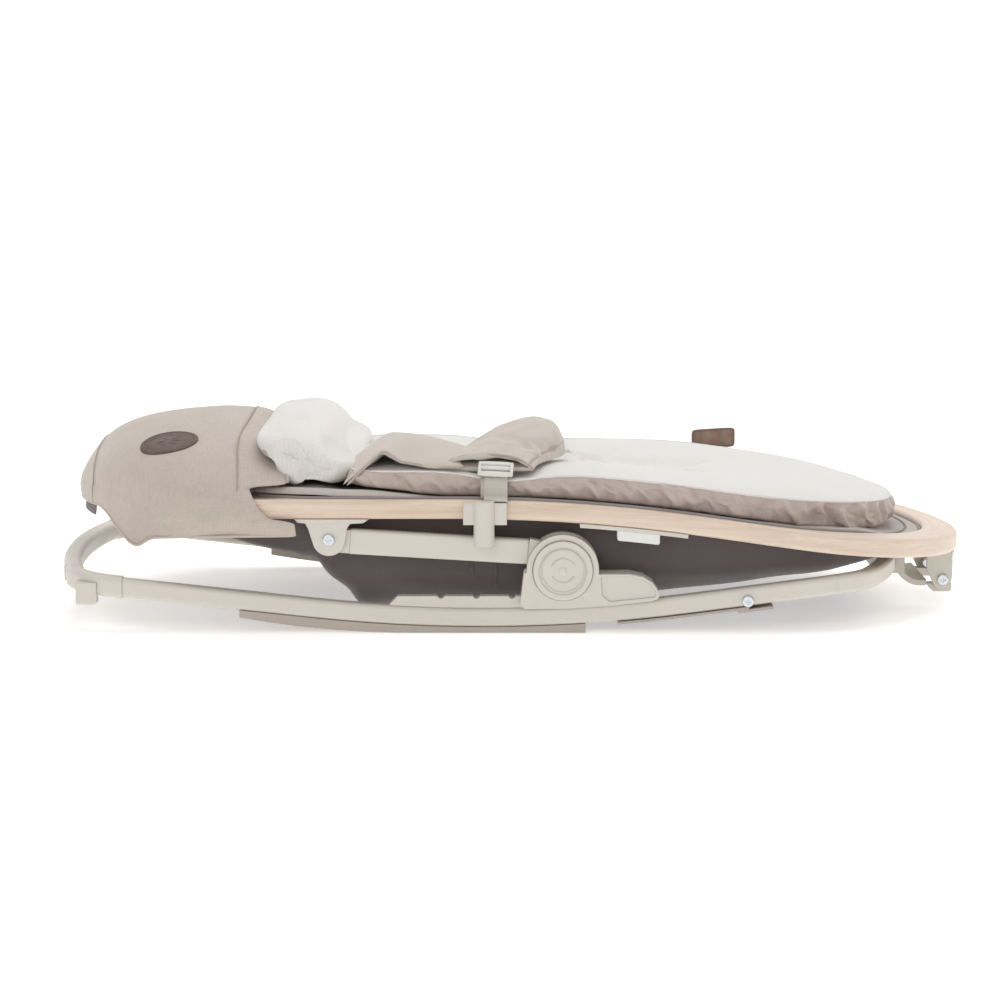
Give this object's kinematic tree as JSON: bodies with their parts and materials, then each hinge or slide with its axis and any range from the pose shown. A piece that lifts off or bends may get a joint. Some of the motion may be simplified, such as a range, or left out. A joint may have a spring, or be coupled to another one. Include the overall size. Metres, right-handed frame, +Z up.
{
  "type": "baby bouncer seat",
  "caption": "Folded baby bouncer: tube rocking base, sliding hub carriages with struts, bent-wood seat hoop, padded seat, hood and harness.",
  "frame": {"origin": "middle of the folded seat's outline, on the floor under the rocker pads", "axes": "+X to the foot end, +Y to the child's left, +Z up; the child's right side is -Y"},
  "size_m": [0.824, 0.453, 0.1809],
  "materials": {
    "tube": "satin warm beige-grey powder coat",
    "plastic": "matte moulded, warm beige-grey",
    "pad": "matte, slightly darker beige",
    "stand": "matte taupe",
    "zinc": "bright zinc",
    "ash": "clear matt lacquer on pale ash",
    "bumper": "matte white",
    "sling": "plain dark taupe weave",
    "cover": "plain beige-grey weave",
    "cushion": "quilted cream jersey",
    "hood": "linen-like melange",
    "leather": "matte brown",
    "harness": "padded satin, mauve beige",
    "webbing": "woven webbing"
  },
  "bodies": {
    "base": {"runner_right": "tube", "runner_left": "tube", "base_front_tube": "tube", "base_rear_tube": "tube", "rear_corner_right": "plastic", "rear_corner_left": "plastic", "rocker_pad_right": "pad", "rocker_pad_left": "pad", "slide_rail_right": "plastic", "slide_rail_left": "plastic", "stand_pivot_screws": "zinc", "foot_cradle": "plastic"},
    "carriages": {"carriage_right": "plastic", "carriage_left": "plastic", "hub_axles": "zinc"},
    "button_right": {"release_button_right": "plastic"},
    "button_left": {"release_button_left": "plastic"},
    "stand_right": {"kickstand_right": "stand"},
    "stand_left": {"kickstand_left": "stand"},
    "struts": {"strut_tube_right": "tube", "strut_tube_left": "tube", "strut_hub_eye_right": "plastic", "strut_hub_eye_left": "plastic", "strut_swing_eye_right": "plastic", "strut_swing_eye_left": "plastic"},
    "seat": {"wood_hoop": "ash", "swing_bracket_right": "plastic", "swing_bracket_left": "plastic", "swing_screws": "zinc", "rest_plate_right": "plastic", "rest_plate_left": "plastic", "rest_bumper_right": "bumper", "rest_bumper_left": "bumper", "harness_clip_right": "plastic", "harness_clip_left": "plastic", "foot_bracket": "plastic", "foot_screws": "zinc", "under_sling": "sling", "sling_side_right": "sling", "sling_side_left": "sling", "seat_cover": "cover", "seat_cushion": "cushion", "head_pillow": "cushion", "side_tag": "leather", "hood": "hood", "hood_patch": "leather", "hip_pad_right": "harness", "hip_pad_left": "harness", "crotch_pad": "harness", "webbing_right": "webbing", "webbing_left": "webbing", "web_slider_right": "plastic", "web_slider_left": "plastic", "buckle_socket": "plastic", "crotch_strap": "webbing"},
    "buckle_press": {"buckle_button": "plastic"}
  },
  "joints": [
    {"name": "carriage_slide", "type": "slide", "parent": "base", "child": "carriages", "axis": [-1, 0, 0], "range_m": [0, 0.04605]},
    {"name": "strut_lift", "type": "hinge", "parent": "carriages", "child": "struts", "pos_m": [0.0422, 0, 0.0559], "axis": [0, 1, 0], "range_deg": [0, 44.5]},
    {"name": "seat_recline", "type": "hinge", "parent": "struts", "child": "seat", "pos_m": [-0.1613, 0, 0.0827], "axis": [0, 1, 0], "range_deg": [-30.22, 0]},
    {"name": "release_press_right", "type": "slide", "parent": "carriages", "child": "button_right", "axis": [0, 1, 0], "range_m": [0, 0.0025], "stiffness_N_per_m": 400},
    {"name": "release_press_left", "type": "slide", "parent": "carriages", "child": "button_left", "axis": [0, -1, 0], "range_m": [0, 0.0025], "stiffness_N_per_m": 400},
    {"name": "stand_tip_right", "type": "hinge", "parent": "base", "child": "stand_right", "pos_m": [0.2038, -0.2, 0.0281], "axis": [0, -1, 0], "range_deg": [0, 3.4]},
    {"name": "stand_tip_left", "type": "hinge", "parent": "base", "child": "stand_left", "pos_m": [0.2038, 0.2, 0.0281], "axis": [0, -1, 0], "range_deg": [0, 3.4]},
    {"name": "buckle_press", "type": "slide", "parent": "seat", "child": "buckle_press", "axis": [0, 0, -1], "range_m": [0, 0.002], "stiffness_N_per_m": 300}
  ],
  "couplings": [
    {"joint": "carriage_slide", "follows": "strut_lift", "m_per_rad": 0.059296},
    {"joint": "seat_recline", "follows": "strut_lift", "ratio": -0.6791}
  ]
}
